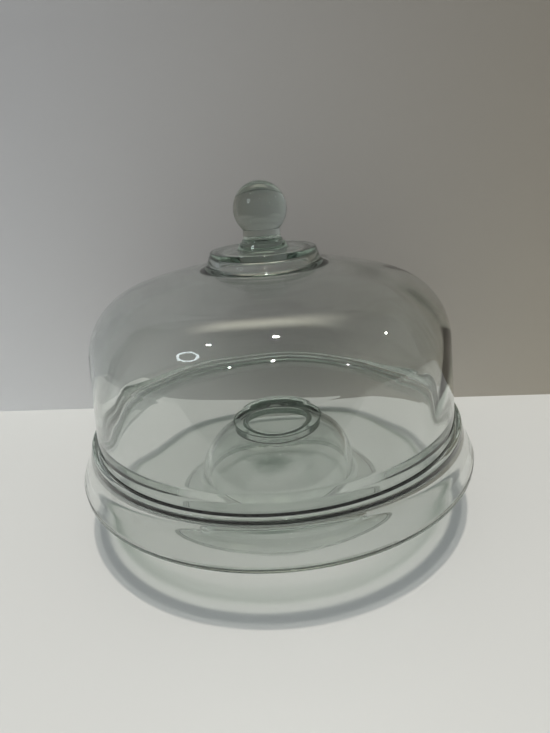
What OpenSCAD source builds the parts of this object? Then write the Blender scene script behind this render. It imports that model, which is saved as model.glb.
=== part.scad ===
// Glass cake stand with a domed cover.
// Two pieces of clear glass, each turned about one upright axis: a stand whose plate, locating ring,
// skirt and hollow bell foot are one wall, and a dome with a raised boss and a solid ball knob.
// Frame: the table is z = 0, the axis of both pieces is x = y = 0, and lengths are millimetres.

/* [Plate] */
// Diameter over the rim of the skirt
rim_d = 320; // [310:1:350]
// Height of the plate's flat top above the table
plate_h = 76; // [73:0.5:86]
// Thickness of the plate in its flat middle
plate_t = 5.5; // [4:0.1:6.5]
// Diameter of the flat middle of the plate's underside
flat_d = 240; // [210:1:274]
// Radius of the slight curve round the flat middle
flat_round = 120; // [40:5:160]
// Depth by which the underside falls from its flat middle to the knee
knee_drop = 1.5; // [0.5:0.1:3]
// Radius of the knee between the underside and the inside of the skirt
knee_r = 22; // [10:0.5:26]

/* [Locating ring] */
// Clearance between the dome's foot and the ring round it
dome_gap = 0.8; // [0.4:0.1:2]
// Width of the ring
ring_w = 4; // [3.2:0.1:6]
// Height of the ring above the plate
ring_h = 3; // [2.2:0.1:5]
// Radius of the ring's rounded top corners
ring_round = 1.5; // [0.5:0.1:1.6]
// Radius of the small curve between the ring and the plate
ring_fillet = 0.4; // [0.2:0.1:0.6]
// Depth of the crease round the plate's edge below the plate's top
crease_h = 2.5; // [1:0.1:5]

/* [Skirt] */
// Height of the skirt's rim above the table
rim_h = 48; // [42:0.5:52]
// Thickness of the skirt
rim_t = 3.8; // [3.4:0.1:4.6]
// Least width of the rim's underside
rim_w = 1.8; // [1.6:0.1:2.8]
// Height of the upright edge of the rim
rim_edge = 4.4; // [3:0.1:5]
// Radius of the rim's rounded corners
rim_round = 0.8; // [0.3:0.1:1]

/* [Foot] */
// Diameter over the foot's lip
foot_d = 176; // [160:1:196]
// Thickness of the glass in the foot
foot_t = 4.5; // [3.5:0.1:5.5]
// Height of the lip's outer edge
lip_h = 4; // [3:0.1:6]
// Width of the ring that the foot stands on
rest_w = 6; // [4:0.1:9]
// Radius of the lip's rounded corners
lip_round = 1.4; // [0.4:0.1:1.5]
// Radius of the corner inside the lip, at the edge that the foot rests on
rest_round = 0.7; // [0.2:0.1:1]
// Slope of the flare above the lip, in degrees
flare_slope = 25; // [18:1:30]
// Radius of the hollow curve between the flare and the bell
waist_r = 14; // [4:0.5:16]
// Diameter of the bell at its widest
bell_d = 128.6; // [122:0.2:134]
// Height of the upright side of the bell above the hollow curve
bell_side = 1.8; // [0.5:0.1:4]
// Radius, from its middle out, of the arc in which the bell's side turns in to the neck
bell_r = 39.5; // [36:0.5:42]
// Diameter of the neck between the bell and the plate
neck_d = 71; // [66:0.5:76]
// Height of the neck
neck_h = 6.7; // [4:0.1:8]
// Thickness of the glass round the neck's hollow
neck_t = 8; // [5:0.1:10]
// Thickness of the glass above the neck's hollow
floor_t = 7.5; // [5:0.1:9]
// Radius of the small curves at both ends of the neck
neck_round = 1.5; // [0.4:0.1:1.8]
// Radius of the corner round the top of the neck's hollow
hollow_round = 3; // [1:0.1:4]

/* [Dome] */
// Diameter of the dome at its foot
dome_d = 290.4; // [280:0.2:298]
// Height above the plate that the crown would reach without its boss
crown_h = 129.4; // [116:0.2:150]
// Lean of the dome's wall, in degrees
dome_lean = 4.7; // [1:0.1:7]
// Radius of the dome's shoulder
shoulder_r = 50.6; // [38:0.2:60]
// Radius of the dome's crown
crown_r = 382; // [320:2:480]
// Thickness of the dome's wall
dome_t = 4; // [3:0.1:4.8]
// Thickness of the dome's foot where it stands on the plate
foot_edge_t = 4.8; // [4.4:0.1:5.4]
// Thickness of the bead inside the dome's foot
bead_t = 6.1; // [5.5:0.1:7]
// Height of the bead's thickest place above the plate
bead_mid = 8; // [6:0.5:9]
// Height of the bead
bead_h = 16; // [14:0.5:20]
// Radius of the rounded corners of the dome's foot
bead_round = 1.4; // [0.4:0.1:1.8]
// Radius of the curves over the bead
swell_round = 8; // [4:0.5:12]

/* [Boss] */
// Diameter of the boss's flat top
boss_d = 80; // [70:0.5:96]
// Height of the boss above the crown
boss_h = 9.4; // [6:0.2:14]
// Lean of the boss's side, in degrees
boss_lean = 21; // [10:1:30]
// Thickness of the glass in the boss's top
boss_t = 6.5; // [5:0.1:7.5]
// Thickness of the glass in the boss's side
boss_side_t = 9; // [6:0.1:11]
// Radius of the corner round the boss's top
boss_round = 0.8; // [0.3:0.1:1.5]
// Radius of the hollow curve between the boss and the crown
boss_fillet = 9; // [3:0.5:10]
// Radius of the curve inside the crown at the foot of the boss
boss_inner = 4.5; // [2:0.5:5]
// Radius of the corner round the top of the boss's hollow
boss_corner = 3; // [1:0.5:3.5]

/* [Knob] */
// Diameter of the ball
ball_d = 40; // [34:0.5:46]
// Height of the ball's centre above the boss
ball_h = 28.7; // [26:0.1:34]
// Diameter of the stem under the ball
stem_d = 28.2; // [24:0.2:29.6]
// Diameter of the collar at the foot of the stem
collar_d = 30.8; // [30:0.2:33]
// Height of the collar's top edge above the boss
collar_h = 6.6; // [5.6:0.1:8]
// Thickness of the collar
collar_t = 1.6; // [1:0.1:2.4]
// Diameter of the seat's upper edge, under the collar
seat_top_d = 34; // [33.4:0.2:36]
// Diameter of the seat on the boss
seat_d = 39; // [37:0.5:44]
// Radius of the small curves of the knob
knob_round = 0.7; // [0.2:0.1:0.8]
// Radius of the edge under the collar
collar_round = 0.3; // [0.1:0.1:0.4]
// Radius of the curve at the foot of the seat
seat_round = 1.4; // [0.4:0.1:1.8]

/* [Hidden] */

// Largest gap between a true arc and the chords that stand for it
chord_gap = 0.02;
// Steps round the axis
turns = 180;
// Angle that an arc leaves free at its end, for the corner or arc that follows it
arc_gap = 2;
glass = [0.80, 0.86, 0.83, 0.45];

// The ring keeps the dome in place, and the crease under it is where the skirt begins
ring_in = dome_d / 2 + dome_gap;
ring_out = ring_in + ring_w;
ring_z = plate_h + ring_h;

// The skirt falls straight from the crease to the rim, with parallel faces unless the rim gets too narrow
rim_out = rim_d / 2;
crease = [ring_out, plate_h - crease_h];
edge = [rim_out, rim_h + rim_edge];
skirt_down = (edge - crease) / norm(edge - crease);
skirt_in = edge + rim_t * [skirt_down.y, -skirt_down.x];
skirt_run = skirt_down.x / skirt_down.y;
rim_in = min(skirt_in.x + (rim_h - skirt_in.y) * skirt_run, rim_out - rim_w);

// The underside falls from its flat middle to the knee, where the inside of the skirt begins
under_z = plate_h - plate_t;
flat_out = flat_d / 2;
knee_z = under_z - knee_drop;
knee_x = skirt_in.x + (knee_z - skirt_in.y) * skirt_run;
fall_angle = atan2(knee_drop, knee_x - flat_out);
knee_turn = atan2(knee_z - rim_h, rim_in - knee_x) - fall_angle;

// The curves at both ends of the falling stretch share its length, and the knee stays above the rim
flat_share = 0.4;
flat_leg = flat_share * (knee_x - flat_out);
knee_leg = min(knee_x - flat_out - flat_leg, knee_z - rim_h - rim_round);
flat_fit = min(flat_round, flat_leg / tan(fall_angle / 2));
knee_fit = min(knee_r, knee_leg / tan(knee_turn / 2));

// The flare runs straight from the lip to the waist, where the upright side of the bell begins
lip_out = foot_d / 2;
rest_in = lip_out - rest_w;
bell_out = bell_d / 2;
flare_rise = tan(flare_slope);
waist_z = lip_h + (lip_out - bell_out) * flare_rise;
waist_in = waist_z + foot_t * (flare_rise - 1 / cos(flare_slope));
rest_top = waist_in - (rest_in - bell_out + foot_t) * flare_rise;
bell_z = waist_z + waist_r * tan(45 - flare_slope / 2) + bell_side;

// Both faces of the bell are arcs about one middle, drawn out to reach the neck
neck_out = neck_d / 2;
neck_in = neck_out - neck_t;
bell_top = under_z - neck_h;
bell_c = [bell_out - bell_r, bell_z];
bell_rise = (bell_top - bell_z) / sin(acos((neck_out - bell_c.x) / bell_r));
bell_size = [bell_r, bell_rise];
hollow_size = bell_size - [foot_t, foot_t];
hollow_z = plate_h - floor_t;

// The dome's wall leans in, and the shoulder is tangent to it and to the crown
wall_up = [-sin(dome_lean), cos(dome_lean)];
wall_out = [cos(dome_lean), sin(dome_lean)];
dome_foot = [dome_d / 2, plate_h];
crown_c = [0, plate_h + crown_h - crown_r];
wall_c = dome_foot - shoulder_r * wall_out;
wall_to_crown = (wall_c - crown_c) * wall_up;
wall_rise = sqrt(pow(crown_r - shoulder_r, 2) + pow(wall_to_crown, 2) - pow(norm(wall_c - crown_c), 2))
    - wall_to_crown;
shoulder_c = wall_c + wall_rise * wall_up;
crown_from = atan2(shoulder_c.y - crown_c.y, shoulder_c.x - crown_c.x);

// The boss and the knob stand on the crown
boss_out = boss_d / 2;
boss_z = plate_h + crown_h + boss_h;
boss_under = boss_z - boss_t;
boss_in = boss_out - boss_side_t / cos(boss_lean) + boss_t * tan(boss_lean);
ball_r = ball_d / 2;
ball_c = [0, boss_z + ball_h];
stem_out = stem_d / 2;
stem_angle = acos(stem_out / ball_r);
collar_out = collar_d / 2;
collar_z = boss_z + collar_h;

// Unit vector along v
function unit(v) = v / norm(v);

// Points of the oval about c that reaches r.x out and r.y up, from angle a to angle b
function oval(c, r, a, b) =
    let (n = max(1, ceil(abs(b - a) / (2 * acos(1 - chord_gap / max(r))))))
    [for (i = [0 : n]) c + [r.x * cos(a + (b - a) * i / n), r.y * sin(a + (b - a) * i / n)]];

// Points of the arc about c with radius r, from angle a to angle b
function arc(c, r, a, b) = oval(c, [r, r], a, b);

// Points of the arc of radius r that rounds the corner at q between the legs to p and s
function rounded(p, q, s, r) =
    let (
        u = unit(p - q),
        v = unit(s - q),
        half = acos(u * v) / 2,
        c = q + unit(u + v) * r / sin(half),
        first = q + u * r / tan(half) - c,
        last = q + v * r / tan(half) - c,
        a = atan2(first.y, first.x),
        sweep = (atan2(last.y, last.x) - a + 540) % 360 - 180
    )
    arc(c, r, a, a + sweep);

// Outline through a closed path, in which [x, z, r] is a corner to round with radius r
function outline(path) =
    let (
        n = len(path),
        at = [for (p = path) [p.x, p.y]]
    )
    [for (i = [0 : n - 1]) each
        len(path[i]) == 2 ? [at[i]] : rounded(at[(i + n - 1) % n], at[i], at[(i + 1) % n], path[i].z)];

// Angle at which the upper right part of a circle of radius r about c reaches x
function angle_at(c, r, x) = acos((x - c.x) / r);

// Point at which a side that leans outward from [x, z] meets the circle of radius r about the crown's centre
function side_foot(x, z, r) =
    let (
        lean = tan(boss_lean),
        h = z - crown_c.y,
        k = h - x * lean,
        q = 1 + lean * lean,
        drop = (k - sqrt(k * k - q * (x * x + h * h - r * r))) / q
    )
    [x + drop * lean, z - drop];

// Plate top, locating ring and outside of the skirt, from the axis out to the rim
function plate_path() = [
    [0, plate_h],
    [ring_in, plate_h, ring_fillet],
    [ring_in, ring_z, ring_round],
    [ring_out, ring_z, ring_round],
    [crease.x, crease.y, ring_fillet],
    [edge.x, edge.y, rim_round],
    [rim_out, rim_h, rim_round],
    [rim_in, rim_h, rim_round]
];

// Inside of the skirt and underside of the plate, from the rim in to the neck
function under_path() = [
    [knee_x, knee_z, knee_fit],
    [flat_out, under_z, flat_fit],
    [neck_out, under_z, neck_round]
];

// Outside of the foot, from the neck down to the lip
function foot_outside() = concat(
    [[neck_out, bell_top, neck_round]],
    oval(bell_c, bell_size, angle_at(bell_c, bell_r, neck_out + 2 * neck_round), 0),
    [
        [bell_out, waist_z, waist_r],
        [lip_out, lip_h, lip_round],
        [lip_out, 0, lip_round],
        [rest_in, 0, rest_round]
    ]
);

// Inside of the foot, from the lip up to the top of the neck's hollow
function foot_inside() = concat(
    [
        [rest_in, rest_top],
        [bell_out - foot_t, waist_in, waist_r + foot_t]
    ],
    oval(bell_c, hollow_size, 0, angle_at(bell_c, hollow_size.x, neck_in)),
    [
        [neck_in, hollow_z, hollow_round],
        [0, hollow_z]
    ]
);

// Ball, stem, collar and seat, from the axis down to the boss
function knob_path() = concat(
    arc(ball_c, ball_r, 90, arc_gap - stem_angle),
    [
        [stem_out, ball_c.y - ball_r * sin(stem_angle), knob_round],
        [stem_out, collar_z + collar_out - stem_out, knob_round],
        [collar_out, collar_z, knob_round],
        [collar_out, collar_z - collar_t, collar_round],
        [seat_top_d / 2, collar_z - collar_t, knob_round],
        [seat_d / 2, boss_z, seat_round]
    ]
);

// Outside of the dome, from the boss down to the foot
function dome_outside() =
    let (foot = side_foot(boss_out, boss_z, crown_r))
    concat(
        [
            [boss_out, boss_z, boss_round],
            [foot.x, foot.y, boss_fillet]
        ],
        arc(crown_c, crown_r, angle_at(crown_c, crown_r, foot.x + boss_fillet), crown_from),
        arc(shoulder_c, shoulder_r, crown_from - arc_gap, dome_lean),
        [[dome_foot.x, dome_foot.y, bead_round]]
    );

// Inside of the dome, from the foot up to the axis
function dome_inside() =
    let (
        foot = side_foot(boss_in, boss_under, crown_r - dome_t),
        swell = dome_foot + bead_mid * wall_up - bead_t * wall_out,
        bead_top = dome_foot + bead_h * wall_up - dome_t * wall_out
    )
    concat(
        [
            [dome_foot.x - foot_edge_t, plate_h, bead_round],
            [swell.x, swell.y, swell_round],
            [bead_top.x, bead_top.y, swell_round]
        ],
        arc(shoulder_c, shoulder_r - dome_t, dome_lean, crown_from - arc_gap),
        arc(crown_c, crown_r - dome_t, crown_from, angle_at(crown_c, crown_r - dome_t, foot.x + boss_fillet)),
        [
            [foot.x, foot.y, boss_inner],
            [boss_in, boss_under, boss_corner],
            [0, boss_under]
        ]
    );

module turned(path) {
    rotate_extrude($fn = turns) polygon(outline(path));
}

module cake_stand() {
    color(glass) turned(concat(plate_path(), under_path(), foot_outside(), foot_inside()));
}

module glass_dome() {
    color(glass) turned(concat(knob_path(), dome_outside(), dome_inside()));
}

cake_stand();
glass_dome();
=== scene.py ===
import math

import bpy
from mathutils import Matrix, Vector, noise


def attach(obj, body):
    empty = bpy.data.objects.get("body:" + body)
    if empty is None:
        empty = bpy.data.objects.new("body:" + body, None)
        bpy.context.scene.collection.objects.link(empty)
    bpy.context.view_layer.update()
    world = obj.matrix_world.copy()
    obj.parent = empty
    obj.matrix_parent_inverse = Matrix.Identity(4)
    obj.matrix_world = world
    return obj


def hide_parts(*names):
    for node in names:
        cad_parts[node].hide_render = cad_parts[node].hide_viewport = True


bl_info = {
    "name": "Glass Cake Stand",
    "version": (1, 0, 0),
    "blender": (4, 5, 0),
    "location": "View3D > Sidebar > Cake Stand",
    "description": "Turns a pressed glass cake stand and its dome, and sets a plain stage for them",
    "category": "Add Mesh",
}

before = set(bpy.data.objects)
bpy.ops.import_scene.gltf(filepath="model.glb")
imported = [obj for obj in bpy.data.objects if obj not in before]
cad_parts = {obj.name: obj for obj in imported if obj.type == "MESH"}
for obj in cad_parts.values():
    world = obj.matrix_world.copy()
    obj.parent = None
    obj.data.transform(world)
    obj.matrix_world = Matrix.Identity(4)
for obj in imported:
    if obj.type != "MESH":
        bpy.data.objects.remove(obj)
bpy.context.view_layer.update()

# How finely the outlines are drawn and turned
CHORD_GAP = 0.000013  # widest gap between an arc and its chords
WIDEST_STEP = math.radians(10)  # widest turn between two points of an arc
ARC_GAP = math.radians(2)  # turn that is left free where an arc ends at another curve
SUPPORT = 0.0003  # distance of the supporting points from the ends of a straight run
TOUCH = 0.0000001  # distance within which two points are one
STEPS_ROUND = 360  # points round the axis
WALL_STEPS = 12  # steps of the dome's inner wall, which carries the waves

# The dome on its plate
AIR_GAP = 0.00004  # air under the dome's foot, so that both surfaces are seen
WAVES_FROM = 0.010  # height above the foot at which the waves start
WAVES_FULL = 0.030  # height above the foot at which they are full
WAVES_IN = 0.070  # distance from the boss within which they fade out

# The stage
WHITE = (1, 1, 1)
FLOOR_HALF = 2.0  # half the width of the floor
AIM = (0, 0, 0.15)  # point at which the highlights and the ring lamp are aimed
HIGHLIGHT_AWAY = 2.4  # distance by which the directions of HIGHLIGHTS are scaled
HIGHLIGHTS = (  # name, direction, diameter and power of each
    ("ceiling_left", (-0.42, -0.20, 0.88), 0.09, 14.0),
    ("front_left", (-0.35, -0.69, 0.64), 0.05, 9.0),
    ("front", (0.02, -0.67, 0.74), 0.05, 9.0),
    ("right", (0.78, -0.03, 0.62), 0.05, 9.0),
    ("front_right", (0.63, -0.62, 0.44), 0.04, 7.0),
)
RING_HOLE = 0.74  # share of the ring lamp's diameter that is open
RING_STEPS = 48  # sides of the ring lamp
PATCH_HEIGHT = (0.80, 0.95)  # share of straight up at which the bright ceiling starts and is full
PATCH_BACK = (0.10, 0.35)  # share of straight back at which it starts and is full
BOUNCES = 40  # bounces in all, through glass and through clear film
GLOSSY_BOUNCES = 12
PHOTO_H = 733  # height of the photograph, in pixels
SENSOR = 36.0  # size of the camera's sensor along that height, in millimetres
CLIP = (0.01, 20)  # nearest and farthest distance that the camera sees


def length(name, description, default):
    return bpy.props.FloatProperty(
        name=name,
        description=description,
        default=default,
        min=0.0,
        precision=4,
        unit="LENGTH",
        subtype="DISTANCE",
    )


def angle(name, description, degrees):
    return bpy.props.FloatProperty(
        name=name, description=description, default=math.radians(degrees), unit="ROTATION", subtype="ANGLE"
    )


def number(name, description, default):
    return bpy.props.FloatProperty(name=name, description=description, default=default, precision=4)


def colour(name, description, default):
    return bpy.props.FloatVectorProperty(
        name=name, description=description, default=default, size=3, min=0.0, max=1.0, subtype="COLOR"
    )


def place(name, description, default):
    return bpy.props.FloatVectorProperty(
        name=name,
        description=description,
        default=default,
        size=3,
        precision=4,
        unit="LENGTH",
        subtype="TRANSLATION",
    )


class CAKESTAND_PG_plate(bpy.types.PropertyGroup):
    """Sizes of the plate, its locating ring and its skirt"""

    rim_d: length("Rim diameter", "Diameter over the rim of the skirt", 0.320)
    top_h: length("Plate height", "Height of the plate's flat top above the table", 0.076)
    thick: length("Plate thickness", "Thickness of the plate in its flat middle", 0.0055)
    flat_d: length("Flat diameter", "Diameter of the flat middle of the plate's underside", 0.240)
    flat_round: length("Flat rounding", "Radius of the slight curve round the flat middle", 0.120)
    knee_drop: length("Knee drop", "Fall of the underside from its flat middle to the knee", 0.0015)
    knee_r: length("Knee radius", "Radius of the knee between the underside and the skirt", 0.022)
    ring_in_d: length("Ring inner diameter", "Diameter inside the locating ring", 0.292)
    ring_w: length("Ring width", "Width of the locating ring", 0.004)
    ring_h: length("Ring height", "Height of the locating ring above the plate", 0.003)
    ring_round: length("Ring rounding", "Radius of the ring's rounded top corners", 0.0015)
    ring_fillet: length("Ring fillet", "Radius of the small curve between the ring and the plate", 0.0004)
    crease_h: length("Crease depth", "Depth of the crease round the plate's edge below its top", 0.0025)
    rim_h: length("Rim height", "Height of the skirt's rim above the table", 0.048)
    rim_t: length("Skirt thickness", "Thickness of the skirt", 0.0052)
    rim_rise: angle("Rim rise", "Slope at which the rim's underside rises inward", 20)
    rim_in_round: length("Rim inner rounding", "Radius of the corner inside the rim", 0.0010)
    rim_edge: length("Rim edge", "Height of the upright edge of the rim", 0.0044)
    rim_round: length("Rim rounding", "Radius of the rim's rounded corners", 0.0008)


class CAKESTAND_PG_foot(bpy.types.PropertyGroup):
    """Sizes of the hollow bell foot"""

    lip_d: length("Foot diameter", "Diameter over the foot's lip", 0.176)
    thick: length("Foot thickness", "Thickness of the glass in the foot", 0.0045)
    lip_h: length("Lip height", "Height of the lip's outer edge", 0.004)
    rest_w: length("Rest width", "Width of the ring that the foot stands on", 0.006)
    lip_round: length("Lip rounding", "Radius of the lip's rounded corners", 0.0014)
    rest_round: length("Rest rounding", "Radius of the corner inside the lip", 0.0007)
    flare: angle("Flare slope", "Slope of the flare above the lip", 25)
    waist_r: length("Waist radius", "Radius of the hollow curve between the flare and the bell", 0.014)
    bell_d: length("Bell diameter", "Diameter of the bell at its widest", 0.1286)
    bell_side: length("Bell side", "Height of the upright side of the bell above the hollow curve", 0.0018)
    bell_r: length("Bell arc", "Level radius of the arc in which the bell turns in to the neck", 0.0395)
    neck_d: length("Neck diameter", "Diameter of the neck between the bell and the plate", 0.071)
    neck_h: length("Neck height", "Height of the neck", 0.0067)
    neck_t: length("Neck thickness", "Thickness of the glass round the neck's hollow", 0.008)
    floor_t: length("Floor thickness", "Thickness of the glass above the neck's hollow", 0.0075)
    neck_round: length("Neck rounding", "Radius of the small curves at both ends of the neck", 0.0015)
    hollow_round: length("Hollow rounding", "Radius of the corner round the top of the neck's hollow", 0.003)


class CAKESTAND_PG_dome(bpy.types.PropertyGroup):
    """Sizes of the dome and of the boss on its crown"""

    foot_d: length("Dome diameter", "Diameter of the dome at its foot", 0.2904)
    crown_h: length("Crown height", "Height of the crown above the plate, as if it had no boss", 0.1294)
    lean: angle("Wall lean", "Lean of the dome's wall", 4.7)
    shoulder_r: length("Shoulder radius", "Radius of the dome's shoulder", 0.0506)
    crown_r: length("Crown radius", "Radius of the dome's crown", 0.382)
    thick: length("Dome thickness", "Thickness of the dome's wall", 0.004)
    foot_t: length("Foot thickness", "Thickness of the dome's foot", 0.0062)
    foot_rest: length("Foot rest", "Width of the part of the foot that stands on the plate", 0.0019)
    foot_rise: angle("Foot rise", "Slope at which the foot's underside rises inward", 16)
    foot_round: length("Foot rounding", "Radius of the corner inside the foot", 0.0008)
    bead_t: length("Bead thickness", "Thickness of the bead inside the dome's foot", 0.0065)
    bead_mid: length("Bead middle", "Height of the bead's thickest place above the plate", 0.007)
    bead_h: length("Bead height", "Height of the bead", 0.016)
    bead_round: length("Bead rounding", "Radius of the corner outside the foot", 0.0014)
    swell_round: length("Swell rounding", "Radius of the curves over the bead", 0.008)
    boss_d: length("Boss diameter", "Diameter of the boss's flat top", 0.080)
    boss_h: length("Boss height", "Height of the boss above the crown", 0.0094)
    boss_lean: angle("Boss lean", "Lean of the boss's side", 21)
    boss_t: length("Boss thickness", "Thickness of the glass in the boss's top", 0.0065)
    boss_side_t: length("Boss side thickness", "Thickness of the glass in the boss's side", 0.009)
    boss_round: length("Boss rounding", "Radius of the corner round the boss's top", 0.0008)
    boss_fillet: length("Boss fillet", "Radius of the hollow curve between the boss and the crown", 0.009)
    boss_inner: length("Boss inner fillet", "Radius of the curve inside, at the boss's foot", 0.0045)
    boss_corner: length("Boss corner", "Radius of the corner round the top of the boss's hollow", 0.003)


class CAKESTAND_PG_knob(bpy.types.PropertyGroup):
    """Sizes of the knob"""

    ball_d: length("Ball diameter", "Diameter of the ball", 0.040)
    ball_h: length("Ball height", "Height of the ball's centre above the boss", 0.0287)
    stem_d: length("Stem diameter", "Diameter of the stem under the ball", 0.0282)
    collar_d: length("Collar diameter", "Diameter of the collar at the foot of the stem", 0.0308)
    collar_h: length("Collar height", "Height of the collar's top edge above the boss", 0.0066)
    collar_t: length("Collar thickness", "Thickness of the collar", 0.0016)
    seat_top_d: length("Seat top diameter", "Diameter of the seat's upper edge, under the collar", 0.034)
    seat_d: length("Seat diameter", "Diameter of the seat on the boss", 0.039)
    knob_round: length("Knob rounding", "Radius of the small curves of the knob", 0.0007)
    collar_round: length("Collar rounding", "Radius of the edge under the collar", 0.0003)
    seat_round: length("Seat rounding", "Radius of the curve at the foot of the seat", 0.0014)


class CAKESTAND_PG_glass(bpy.types.PropertyGroup):
    """Look of the glass"""

    tint: colour("Surface tint", "Colour that each surface of the glass lets through", (0.965, 0.972, 0.966))
    depth_tint: colour("Depth tint", "Colour that thick glass takes on", (0.25, 0.385, 0.30))
    depth: number("Depth", "How fast the glass takes on its depth tint, per metre", 20.0)
    ior: number("Refraction", "Index of refraction", 1.52)
    wave: length("Wave height", "Height of the slow waves inside the dome's wall", 0.0012)
    wave_long: length("Wave length", "Length of the slow waves", 0.050)
    ripple: length("Ripple height", "Height of the faint ripple of every surface", 0.00001)
    ripple_long: length("Ripple length", "Length of the faint ripple", 0.040)
    shade: colour("Shade", "Colour of the light that a lamp sends through a surface", (0.997, 0.998, 0.997))
    steep_shade: colour("Steep shade", "Colour of the light through a steep surface", (0.53, 0.56, 0.59))
    steep_from: number("Steep from", "Share of turning away from the lamp that begins to shade", 0.25)
    steep_to: number("Steep to", "Share of turning away from the lamp that shades in full", 0.40)
    steep_in: length("Steep inside", "Distance from the axis within which nothing counts as steep", 0.125)


class CAKESTAND_PG_stage(bpy.types.PropertyGroup):
    """Floor, wall, lamps and camera"""

    floor: colour("Floor", "Colour of the floor", (0.62, 0.63, 0.61))
    floor_rough: number("Floor roughness", "Roughness of the floor", 0.45)
    table_half: length("Table half", "Half the width of the table that reflections show", 0.75)
    table_front: length("Table front", "Distance from the axis to the table's front edge", 0.42)
    wall_left: colour("Wall left", "Colour of the wall on the left", (0.75, 0.77, 0.79))
    wall_right: colour("Wall right", "Colour of the wall on the right", (0.425, 0.395, 0.33))
    wall_blend: length("Wall blend", "Half the width over which the two colours meet", 0.45)
    # Painted shade: the share to which the wall's colour is darkened towards the top
    wall_high_painted_shade: colour("Wall high", "Share of its colour that the wall keeps high up", (0.66, 0.66, 0.67))
    wall_dim_at: length("Wall dim height", "Height from which the wall keeps only that share", 0.42)
    wall_at: place("Wall place", "Where the wall meets the floor behind the axis", (0.0, 0.187, 0.0))
    wall_turn: angle("Wall turn", "Turn of the wall about the vertical", -5.8)
    wall_half: length("Wall half", "Half the width of the wall", 1.2)
    wall_top: length("Wall top", "Height of the wall, which leaves the ceiling open", 0.62)
    key_at: place("Key place", "Place of the lamp overhead", (0.12, -0.50, 3.4))
    key_size: length("Key size", "Width of the lamp overhead", 0.14)
    key_power: number("Key power", "Power of the lamp overhead, in watts", 86.0)
    key_tone: colour("Key tone", "Colour of the lamp overhead", (1.0, 0.98, 0.95))
    fill: number("Fill", "Strength of the light from all round", 0.36)
    # Also the dark glow painted on the floor beyond the table, seen only in reflections
    room: colour("Room", "Colour of the room round the table", (0.035, 0.035, 0.035))
    ceiling: colour("Ceiling", "Colour of the ceiling's bright patch behind the wall", (1.0, 0.97, 0.80))
    glow: number("Ceiling glow", "Strength of the bright patch", 2.6)
    ring_at: place("Ring place", "Place of the ring lamp", (-0.42, -0.30, 0.57))
    ring_d: length("Ring lamp diameter", "Diameter of the ring lamp", 0.14)
    ring_tone: colour("Ring lamp tone", "Colour of the ring lamp", (0.86, 0.97, 1.0))
    ring_glow: number("Ring lamp glow", "Strength of the ring lamp", 12.0)
    camera_at: place("Camera place", "Place of the camera", (0.0026, -0.4069, 0.2708))
    camera_down: angle("Camera pitch", "How far the camera looks down", 20.58)
    camera_roll: angle("Camera roll", "How far the camera rolls to the right", 4.23)
    camera_focal: number("Focal length", "Focal length in pixels of a frame 733 pixels high", 527.4)


def at(x, z):
    return Vector((x, z))


def oval(centre, out, up, start, end):
    """Points of the oval about centre that reaches out and up so far, from one angle to the other"""
    step = min(WIDEST_STEP, 2 * math.acos(1 - CHORD_GAP / max(out, up)))
    count = max(2, math.ceil(abs(end - start) / step))
    turns = [start + (end - start) * i / count for i in range(count + 1)]
    return [centre + at(out * math.cos(turn), up * math.sin(turn)) for turn in turns]


def arc(centre, radius, start, end):
    """Points of the arc about centre, from one angle to the other"""
    return oval(centre, radius, radius, start, end)


def rounded(before, corner, after, radius):
    """Points of the arc that rounds a corner between its two legs"""
    u, v = (before - corner).normalized(), (after - corner).normalized()
    half = math.acos(u.dot(v)) / 2
    centre = corner + (u + v).normalized() * radius / math.sin(half)
    first = corner + u * radius / math.tan(half) - centre
    last = corner + v * radius / math.tan(half) - centre
    start = math.atan2(first.y, first.x)
    sweep = (math.atan2(last.y, last.x) - start + 3 * math.pi) % (2 * math.pi) - math.pi
    return arc(centre, radius, start, start + sweep)


def outline(path):
    """Points along a path of (x, z) and (x, z, radius) corners, the latter rounded, and of points of arcs"""
    points = []
    for i, corner in enumerate(path):
        bend = [at(corner[0], corner[1])]
        if len(corner) == 3:
            before, after = path[i - 1], path[i + 1]
            bend = rounded(at(before[0], before[1]), bend[0], at(after[0], after[1]), corner[2])
        if points and (isinstance(corner, tuple) or isinstance(path[i - 1], tuple)):
            points += support(points[-1], bend[0])
        points += bend
    return [p for i, p in enumerate(points) if i == 0 or (p - points[i - 1]).length > TOUCH]


def support(a, b):
    """Points close to both ends of a straight run, to keep its shading straight"""
    run = b - a
    if run.length < 4 * SUPPORT:
        return []
    return [a + run.normalized() * SUPPORT, b - run.normalized() * SUPPORT]


def angle_at(centre, radius, x):
    """Angle at which the upper right part of a circle reaches x"""
    return math.acos((x - centre.x) / radius)


def add_mesh(name, verts, faces):
    """Object with a mesh of those corners and faces"""
    mesh = bpy.data.meshes.new(name)
    mesh.from_pydata(verts, [], faces)
    piece = bpy.data.objects.new(name, mesh)
    bpy.context.scene.collection.objects.link(piece)
    return piece


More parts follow.
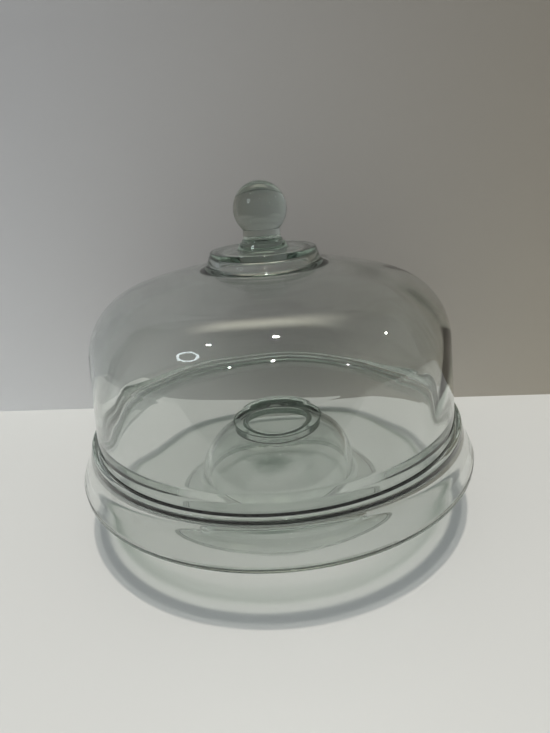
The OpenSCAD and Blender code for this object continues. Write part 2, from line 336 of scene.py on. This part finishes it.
def turned(name, points, waves):
    """Outline turned about the axis, with each point moved along its normal by waves(point, index)"""
    count = len(points)
    normals = []
    for i in range(count):
        run = points[min(i + 1, count - 1)] - points[max(i - 1, 0)]
        normals.append(Vector((-run.y, run.x)).normalized())
    verts, faces, rings = [], [], []
    for i, (p, n) in enumerate(zip(points, normals)):
        if p.x < TOUCH:
            rings.append([len(verts)])
            verts.append((0.0, 0.0, p.y))
            continue
        ring = []
        for k in range(STEPS_ROUND):
            turn = 2 * math.pi * k / STEPS_ROUND
            c, s = math.cos(turn), math.sin(turn)
            spot = Vector((p.x * c, p.x * s, p.y))
            push = waves(spot, i)
            ring.append(len(verts))
            verts.append((spot.x + n.x * c * push, spot.y + n.x * s * push, spot.z + n.y * push))
        rings.append(ring)
    for a, b in zip(rings, rings[1:]):
        for k in range(STEPS_ROUND):
            j = (k + 1) % STEPS_ROUND
            if len(a) == 1:
                faces.append((a[0], b[k], b[j]))
            elif len(b) == 1:
                faces.append((a[k], b[0], a[j]))
            else:
                faces.append((a[k], b[k], b[j], a[j]))
    piece = add_mesh(name, verts, faces)
    piece.data.validate()
    piece.data.polygons.foreach_set("use_smooth", [True] * len(piece.data.polygons))
    return piece


def stand_path(plate, foot):
    """Outline of the stand, from the top of the plate out to the rim and in to the neck's hollow"""
    ring_in = plate.ring_in_d / 2
    ring_out = ring_in + plate.ring_w
    ring_z = plate.top_h + plate.ring_h
    under = plate.top_h - plate.thick
    rim_out = plate.rim_d / 2
    crease = at(ring_out, plate.top_h - plate.crease_h)
    edge = at(rim_out, plate.rim_h + plate.rim_edge)
    fall = (edge - crease).normalized()
    inner = edge - plate.rim_t * at(-fall.y, fall.x)
    # The rim's underside rises inward and meets the inside of the skirt at rim_in
    lean, rim_rise = fall.x / fall.y, math.tan(plate.rim_rise)
    rim_in = (inner.x + (plate.rim_h + rim_rise * rim_out - inner.y) * lean) / (1 + rim_rise * lean)
    knee_z = under - plate.knee_drop
    knee_x = inner.x + (knee_z - inner.y) * lean
    top = [
        (0, plate.top_h),
        (ring_in, plate.top_h, plate.ring_fillet),
        (ring_in, ring_z, plate.ring_round),
        (ring_out, ring_z, plate.ring_round),
        (crease.x, crease.y, plate.ring_fillet),
        (edge.x, edge.y, plate.rim_round),
        (rim_out, plate.rim_h, plate.rim_round),
        (rim_in, plate.rim_h + rim_rise * (rim_out - rim_in), plate.rim_in_round),
        (knee_x, knee_z, plate.knee_r),
        (plate.flat_d / 2, under, plate.flat_round),
    ]
    lip_out, bell_out, neck_out = foot.lip_d / 2, foot.bell_d / 2, foot.neck_d / 2
    rest_in, neck_in = lip_out - foot.rest_w, neck_out - foot.neck_t
    rise = math.tan(foot.flare)
    waist_z = foot.lip_h + (lip_out - bell_out) * rise
    bell_top = under - foot.neck_h
    side_z = waist_z + foot.waist_r * math.tan(math.pi / 4 - foot.flare / 2)
    bell = at(bell_out - foot.bell_r, side_z + foot.bell_side)
    bell_up = (bell_top - bell.y) / math.sin(angle_at(bell, foot.bell_r, neck_out))
    waist_in = waist_z + foot.thick * (rise - 1 / math.cos(foot.flare))
    rest_top = waist_in - (rest_in - bell_out + foot.thick) * rise
    outside = [
        (neck_out, under, foot.neck_round),
        (neck_out, bell_top, foot.neck_round),
        *oval(bell, foot.bell_r, bell_up, angle_at(bell, foot.bell_r, neck_out + 2 * foot.neck_round), 0),
        (bell_out, waist_z, foot.waist_r),
        (lip_out, foot.lip_h, foot.lip_round),
        (lip_out, 0, foot.lip_round),
        (rest_in, 0, foot.rest_round),
    ]
    hollow_r, hollow_up = foot.bell_r - foot.thick, bell_up - foot.thick
    hollow = [
        (rest_in, rest_top),
        (bell_out - foot.thick, waist_in, foot.waist_r + foot.thick),
        *oval(bell, hollow_r, hollow_up, 0, angle_at(bell, hollow_r, neck_in)),
        (neck_in, plate.top_h - foot.floor_t, foot.hollow_round),
        (0, plate.top_h - foot.floor_t),
    ]
    return outline([*top, *outside, *hollow])


def dome_path(base, dome, knob):
    """Outline of the dome, from the top of the ball down to the foot and up inside to the axis"""
    boss_z = base + dome.crown_h + dome.boss_h
    ball_r, stem_out = knob.ball_d / 2, knob.stem_d / 2
    ball = at(0, boss_z + knob.ball_h)
    stem_turn = math.acos(stem_out / ball_r)
    collar_out, collar_z = knob.collar_d / 2, boss_z + knob.collar_h
    handle = [
        *arc(ball, ball_r, math.pi / 2, ARC_GAP - stem_turn),
        (stem_out, ball.y - ball_r * math.sin(stem_turn), knob.knob_round),
        (stem_out, collar_z + collar_out - stem_out, knob.knob_round),
        (collar_out, collar_z, knob.knob_round),
        (collar_out, collar_z - knob.collar_t, knob.collar_round),
        (knob.seat_top_d / 2, collar_z - knob.collar_t, knob.knob_round),
        (knob.seat_d / 2, boss_z, knob.seat_round),
    ]
    up = at(-math.sin(dome.lean), math.cos(dome.lean))
    out = at(math.cos(dome.lean), math.sin(dome.lean))
    foot = at(dome.foot_d / 2, base + AIR_GAP)
    crown = at(0, base + dome.crown_h - dome.crown_r)
    wall = foot - dome.shoulder_r * out
    # The shoulder's centre climbs along the wall until its arc touches the crown's from inside
    reach, apart = (wall - crown).dot(up), dome.crown_r - dome.shoulder_r
    climb = math.sqrt(apart ** 2 + reach ** 2 - (wall - crown).length_squared) - reach
    shoulder = wall + climb * up
    crown_from = math.atan2(shoulder.y - crown.y, shoulder.x - crown.x)

    def side_foot(x, z, radius):
        """Point at which the boss's side, which leans outward from (x, z), meets the crown's circle"""
        lean, h = math.tan(dome.boss_lean), z - crown.y
        k, q = h - x * lean, 1 + lean * lean
        fall = (k - math.sqrt(k * k - q * (x * x + h * h - radius * radius))) / q
        return at(x + fall * lean, z - fall)

    boss_out = dome.boss_d / 2
    end = side_foot(boss_out, boss_z, dome.crown_r)
    outside = [
        (boss_out, boss_z, dome.boss_round),
        (end.x, end.y, dome.boss_fillet),
        *arc(crown, dome.crown_r, angle_at(crown, dome.crown_r, end.x + dome.boss_fillet), crown_from),
        *arc(shoulder, dome.shoulder_r, crown_from - ARC_GAP, dome.lean),
        (foot.x, foot.y, dome.bead_round),
    ]
    under = boss_z - dome.boss_t
    boss_in = boss_out - dome.boss_side_t / math.cos(dome.boss_lean) + dome.boss_t * math.tan(dome.boss_lean)
    inner_crown, inner_shoulder = dome.crown_r - dome.thick, dome.shoulder_r - dome.thick
    start = side_foot(boss_in, under, inner_crown)
    swell = foot + dome.bead_mid * up - dome.bead_t * out
    bead = foot + dome.bead_h * up - dome.thick * out
    foot_top = foot.y + (dome.foot_t - dome.foot_rest) * math.tan(dome.foot_rise)
    wall_top = shoulder + inner_shoulder * out
    inside = [
        (foot.x - dome.foot_rest, foot.y),
        (foot.x - dome.foot_t, foot_top, dome.foot_round),
        (swell.x, swell.y, dome.swell_round),
        (bead.x, bead.y, dome.swell_round),
        *[bead.lerp(wall_top, k / WALL_STEPS) for k in range(1, WALL_STEPS)],
        *arc(shoulder, inner_shoulder, dome.lean, crown_from - ARC_GAP),
        *arc(crown, inner_crown, crown_from, angle_at(crown, inner_crown, start.x + dome.boss_fillet)),
        (start.x, start.y, dome.boss_inner),
        (boss_in, under, dome.boss_corner),
        (0, under),
    ]
    return outline([*handle, *outside, *inside])


class Sum:
    """A shader socket that takes part in Python sums"""

    def __init__(self, tree, socket):
        self.tree, self.socket = tree, socket

    def join(self, operation, *values):
        """Math node of one operation on some values"""
        return self.tree.add("ShaderNodeMath", {"operation": operation}, dict(enumerate(values)))

    def __add__(self, other):
        return self.join("ADD", self, other)

    def __radd__(self, other):
        return self.join("ADD", other, self)

    def __mul__(self, other):
        return self.join("MULTIPLY", self, other)

    def __rmul__(self, other):
        return self.join("MULTIPLY", other, self)

    def __gt__(self, other):
        return self.join("GREATER_THAN", self, other)

    def __lt__(self, other):
        return self.join("LESS_THAN", self, other)

    def __abs__(self):
        return self.join("ABSOLUTE", self)

    def at_least(self, other):
        return self.join("MAXIMUM", self, other)


class Nodes:
    """Node tree of a material or of the world"""

    def __init__(self, owner):
        owner.use_nodes = True
        self.tree = owner.node_tree
        self.tree.nodes.clear()

    def add(self, kind, settings=None, inputs=None, output=0):
        """One output of a new node, whose settings come first, then the values or links of its sockets"""
        node = self.tree.nodes.new(kind)
        for name, value in (settings or {}).items():
            setattr(node, name, value)
        for name, value in (inputs or {}).items():
            if isinstance(value, Sum):
                self.tree.links.new(value.socket, node.inputs[name])
            else:
                node.inputs[name].default_value = value
        return Sum(self, node.outputs[output]) if len(node.outputs) else None

    def axis(self, vector, name):
        """One of a vector's three numbers"""
        return self.add("ShaderNodeSeparateXYZ", {}, {0: vector}, output=name)

    def ray(self, kind):
        """What the light path says of the ray"""
        return self.add("ShaderNodeLightPath", output=kind)

    def ramp(self, value, start, end, way="SMOOTHSTEP", low=0.0, high=1.0):
        """Goes from low to high while the value goes from start to end"""
        sockets = {0: value, 1: start, 2: end, 3: low, 4: high}
        return self.add("ShaderNodeMapRange", {"interpolation_type": way}, sockets)

    def blend(self, share, first, second, way="MIX"):
        """Colour between two others"""
        settings = {"data_type": "RGBA", "blend_type": way}
        return self.add("ShaderNodeMix", settings, {0: share, 6: first, 7: second}, output=2)

    def clear(self, shade):
        """Film that lets light straight through, in its colour"""
        return self.add("ShaderNodeBsdfTransparent", {}, {"Color": opaque(shade)})

    def glow(self, shade, strength):
        """Surface that shines evenly"""
        return self.add("ShaderNodeEmission", {}, {"Color": opaque(shade), "Strength": strength})

    def mix(self, share, first, second):
        """Mix of two shaders"""
        return self.add("ShaderNodeMixShader", {}, {0: share, 1: first, 2: second})


def opaque(shade):
    return (shade[0], shade[1], shade[2], 1.0)


def glass_material(name, look, steep):
    """Clear glass with a faint ripple, tinted by its depth, through which the lamps shine straight

    With steep, less of their light comes through where the surface is steep and far from the axis.
    """
    material = bpy.data.materials.new(name)
    n = Nodes(material)
    spot = n.add("ShaderNodeTexCoord", output="Object")
    ripple = n.add(
        "ShaderNodeTexNoise",
        {},
        {"Vector": spot, "Scale": 1 / look.ripple_long, "Detail": 1.0, "Roughness": 0.4},
    )
    bump = n.add("ShaderNodeBump", {}, {"Height": ripple, "Strength": 1.0, "Distance": look.ripple})
    glass = n.add(
        "ShaderNodeBsdfPrincipled",
        {},
        {
            "Base Color": opaque(look.tint),
            "Roughness": 0.0,
            "IOR": look.ior,
            "Transmission Weight": 1.0,
            "Normal": bump,
        },
    )
    lamplight = n.ray("Is Shadow Ray")
    if steep:
        slant = n.add("ShaderNodeLayerWeight", {}, {"Blend": 0.5}, output="Facing")
        flat = n.ramp(slant, look.steep_from, look.steep_to, "LINEAR", 1.0, 0.0)
        x, y = n.axis(spot, "X"), n.axis(spot, "Y")
        flat = flat.at_least(x * x + y * y < look.steep_in ** 2)
        shown = n.mix(lamplight, glass, n.clear(look.steep_shade))
        shown = n.mix(lamplight * flat, shown, n.clear(look.shade))
    else:
        shown = n.mix(lamplight, glass, n.clear(look.shade))
    depth = {"Color": opaque(look.depth_tint), "Density": look.depth}
    inside = n.add("ShaderNodeVolumeAbsorption", {}, depth)
    n.add("ShaderNodeOutputMaterial", {}, {"Surface": shown, "Volume": inside})
    return material


def smooth(value, start, end):
    """Share of the way from start to end, eased at both"""
    t = min(1.0, max(0.0, (value - start) / (end - start)))
    return t * t * (3 - 2 * t)


def waves_inside(points, look, foot, boss):
    """Slow waves of the dome's inside, which fade out at its foot and at the boss"""
    # The outline goes down outside and up inside, so the inside starts at its lowest point
    lowest = points.index(min(points, key=lambda point: point.y))

    def push(spot, i):
        if i <= lowest:
            return 0.0
        share = smooth(spot.z, foot + WAVES_FROM, foot + WAVES_FULL)
        share *= smooth(math.hypot(spot.x, spot.y), boss, boss + WAVES_IN)
        return share * look.wave * noise.noise(spot / look.wave_long)

    return push


def dress(piece, material, node):
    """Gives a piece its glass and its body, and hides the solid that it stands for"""
    piece.data.materials.append(material)
    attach(piece, "root")
    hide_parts(node)


class CAKESTAND_OT_stand(bpy.types.Operator):
    """Turns the stand: plate, locating ring, skirt and hollow foot in one piece of glass"""

    bl_idname = "cakestand.stand"
    bl_label = "Stand"

    def execute(self, context):
        scene = context.scene
        look = scene.cake_glass
        points = stand_path(scene.cake_plate, scene.cake_foot)
        piece = turned("stand_glass", points, lambda spot, i: 0.0)
        dress(piece, glass_material("stand glass", look, True), "cake_stand")
        return {"FINISHED"}


class CAKESTAND_OT_dome(bpy.types.Operator):
    """Turns the dome: wall, crown, boss and ball knob in one piece of glass"""

    bl_idname = "cakestand.dome"
    bl_label = "Dome"

    def execute(self, context):
        scene = context.scene
        look = scene.cake_glass
        points = dome_path(scene.cake_plate.top_h, scene.cake_dome, scene.cake_knob)
        waves = waves_inside(points, look, scene.cake_plate.top_h, scene.cake_dome.boss_d / 2)
        piece = turned("dome_glass", points, waves)
        dress(piece, glass_material("dome glass", look, False), "glass_dome")
        return {"FINISHED"}


def stage_mesh(name, verts, faces):
    """Object of the stage, and the node tree of its material"""
    piece = add_mesh(name, verts, faces)
    material = bpy.data.materials.new(name)
    piece.data.materials.append(material)
    return piece, Nodes(material)


def facing(spot, aim):
    """Turn of a lamp at one place that faces another"""
    return (Vector(aim) - Vector(spot)).to_track_quat("-Z", "Y").to_euler()


def round_lamp(name, spot, aim, size, power, tone):
    """Round lamp that the camera doesn't see"""
    data = bpy.data.lights.new(name, "AREA")
    data.energy = power
    data.color = tone
    data.shape = "DISK"
    data.size = size
    piece = bpy.data.objects.new(name, data)
    piece.location = spot
    piece.rotation_euler = facing(spot, aim)
    piece.visible_camera = False
    bpy.context.scene.collection.objects.link(piece)
    return piece


class CAKESTAND_OT_stage(bpy.types.Operator):
    """Sets a pale floor, a grey wall, the lamps, the room and the camera"""

    bl_idname = "cakestand.stage"
    bl_label = "Stage"

    def execute(self, context):
        scene = context.scene
        stage = scene.cake_stage
        self.add_floor(stage)
        self.add_wall(stage)
        self.add_world(scene, stage)
        round_lamp("key", stage.key_at, (0, 0, 0), stage.key_size, stage.key_power, stage.key_tone)
        self.add_highlights()
        self.add_ring(stage)
        self.add_camera(scene, stage)
        scene.view_settings.view_transform = "Standard"
        scene.cycles.caustics_refractive = False
        scene.cycles.caustics_reflective = False
        scene.cycles.max_bounces = BOUNCES
        scene.cycles.transmission_bounces = BOUNCES
        scene.cycles.glossy_bounces = GLOSSY_BOUNCES
        scene.cycles.transparent_max_bounces = BOUNCES
        return {"FINISHED"}

    def add_highlights(self):
        """Small lamps that show only as bright spots in the glass"""
        for name, way, size, power in HIGHLIGHTS:
            highlight = round_lamp(name, HIGHLIGHT_AWAY * Vector(way), AIM, size, power, WHITE)
            highlight.visible_diffuse = False
            highlight.visible_transmission = False

    def add_ring(self, stage):
        """A ring lamp that shows only as a bright ring in the glass"""
        outer = stage.ring_d / 2
        verts, faces = [], []
        for k in range(RING_STEPS):
            turn, after = 2 * math.pi * k / RING_STEPS, (k + 1) % RING_STEPS
            for radius in (outer, RING_HOLE * outer):
                verts.append((radius * math.cos(turn), radius * math.sin(turn), 0))
            faces.append((2 * k, 2 * after, 2 * after + 1, 2 * k + 1))
        ring, n = stage_mesh("ring_lamp", verts, faces)
        ring.location = stage.ring_at
        ring.rotation_euler = facing(stage.ring_at, AIM)
        for kind in ("camera", "diffuse", "transmission", "volume_scatter", "shadow"):
            setattr(ring, "visible_" + kind, False)
        n.add("ShaderNodeOutputMaterial", {}, {"Surface": n.glow(stage.ring_tone, stage.ring_glow)})

    def add_floor(self, stage):
        """A pale table, beyond whose edges reflections show a painted dark room: there the floor glows in
        the room's colour
        """
        corners = [(x * FLOOR_HALF, y * FLOOR_HALF, 0) for x, y in ((-1, -1), (1, -1), (1, 1), (-1, 1))]
        n = stage_mesh("floor", corners, [(0, 1, 2, 3)])[1]
        look = {"Base Color": opaque(stage.floor), "Roughness": stage.floor_rough}
        paint = n.add("ShaderNodeBsdfPrincipled", {}, look)
        spot = n.add("ShaderNodeTexCoord", output="Object")
        beside = abs(n.axis(spot, "X")) > stage.table_half
        beyond = beside.at_least(n.axis(spot, "Y") < -stage.table_front)
        # Painted reflection: beyond the table's edges the floor glows in the room's dark colour, in
        # reflections only
        bounced = n.ray("Glossy Depth") > 0
        shown = n.mix(beyond * bounced, paint, n.glow(stage.room, 1.0))
        n.add("ShaderNodeOutputMaterial", {}, {"Surface": shown})

    def add_wall(self, stage):
        """A grey wall behind the stand, darkened towards the top by painted shade, which is clear when it is
        seen from its back
        """
        half, top = stage.wall_half, stage.wall_top
        corners = [(-half, 0, 0), (half, 0, 0), (half, 0, top), (-half, 0, top)]
        wall, n = stage_mesh("wall", corners, [(0, 1, 2, 3)])
        wall.location = stage.wall_at
        wall.rotation_euler = (0, 0, stage.wall_turn)
        spot = n.add("ShaderNodeTexCoord", output="Object")
        across = n.ramp(n.axis(spot, "X"), -stage.wall_blend, stage.wall_blend)
        shade = n.blend(across, opaque(stage.wall_left), opaque(stage.wall_right))
        # Painted shade: the wall's colour darkens from the floor up to wall_dim_at
        up = n.ramp(n.axis(spot, "Z"), 0.0, stage.wall_dim_at, "LINEAR")
        shade = n.blend(up, shade, opaque(stage.wall_high_painted_shade), "MULTIPLY")
        front = n.add("ShaderNodeBsdfDiffuse", {}, {"Color": shade})
        behind = n.add("ShaderNodeNewGeometry", output="Backfacing")
        n.add("ShaderNodeOutputMaterial", {}, {"Surface": n.mix(behind, front, n.clear(WHITE))})

    def add_world(self, scene, stage):
        """Even light for the table, and for eye and glass a dark room with a bright patch of ceiling"""
        scene.world = bpy.data.worlds.new("world")
        n = Nodes(scene.world)
        way = n.add("ShaderNodeTexCoord", output="Generated")
        patch = n.ramp(n.axis(way, "Z"), *PATCH_HEIGHT) * n.ramp(n.axis(way, "Y"), *PATCH_BACK)
        tone = n.blend(patch, opaque(stage.room), opaque(stage.glow * Vector(stage.ceiling)))
        room = n.add("ShaderNodeBackground", {}, {"Color": tone, "Strength": 1.0})
        light = n.add("ShaderNodeBackground", {}, {"Color": opaque(WHITE), "Strength": stage.fill})
        seen = n.ray("Is Camera Ray").at_least(n.ray("Is Glossy Ray"))
        seen = seen.at_least(n.ray("Is Transmission Ray"))
        n.add("ShaderNodeOutputWorld", {}, {"Surface": n.mix(seen, light, room)})

    def add_camera(self, scene, stage):
        """The camera of the photograph"""
        data = bpy.data.cameras.new("camera")
        data.sensor_width = SENSOR
        data.lens = stage.camera_focal / PHOTO_H * SENSOR
        data.clip_start, data.clip_end = CLIP
        camera = bpy.data.objects.new("camera", data)
        tilt = Matrix.Rotation(math.pi / 2 - stage.camera_down, 4, "X")
        roll = Matrix.Rotation(-stage.camera_roll, 4, "Z")
        camera.matrix_world = Matrix.Translation(stage.camera_at) @ tilt @ roll
        scene.collection.objects.link(camera)
        scene.camera = camera


class CAKESTAND_PT_panel(bpy.types.Panel):
    """The stand, its dome and their stage"""

    bl_idname = "CAKESTAND_PT_panel"
    bl_label = "Cake Stand"
    bl_space_type = "VIEW_3D"
    bl_region_type = "UI"
    bl_category = "Cake Stand"

    def draw(self, context):
        for operator in OPERATORS:
            self.layout.operator(operator.bl_idname)
        for name in GROUPS:
            box = self.layout.box()
            group = getattr(context.scene, name)
            for field in group.bl_rna.properties:
                if not field.is_readonly and field.identifier != "name":
                    box.prop(group, field.identifier)


GROUPS = {
    "cake_plate": CAKESTAND_PG_plate,
    "cake_foot": CAKESTAND_PG_foot,
    "cake_dome": CAKESTAND_PG_dome,
    "cake_knob": CAKESTAND_PG_knob,
    "cake_glass": CAKESTAND_PG_glass,
    "cake_stage": CAKESTAND_PG_stage,
}
OPERATORS = (CAKESTAND_OT_stage, CAKESTAND_OT_stand, CAKESTAND_OT_dome)
CLASSES = (*GROUPS.values(), *OPERATORS, CAKESTAND_PT_panel)


def register():
    for kind in CLASSES:
        bpy.utils.register_class(kind)
    for name, kind in GROUPS.items():
        setattr(bpy.types.Scene, name, bpy.props.PointerProperty(type=kind))


def unregister():
    for name in GROUPS:
        delattr(bpy.types.Scene, name)
    for kind in reversed(CLASSES):
        bpy.utils.unregister_class(kind)


def main():
    register()
    bpy.ops.cakestand.stage()
    bpy.ops.cakestand.stand()
    bpy.ops.cakestand.dome()


if __name__ == "__main__":
    main()
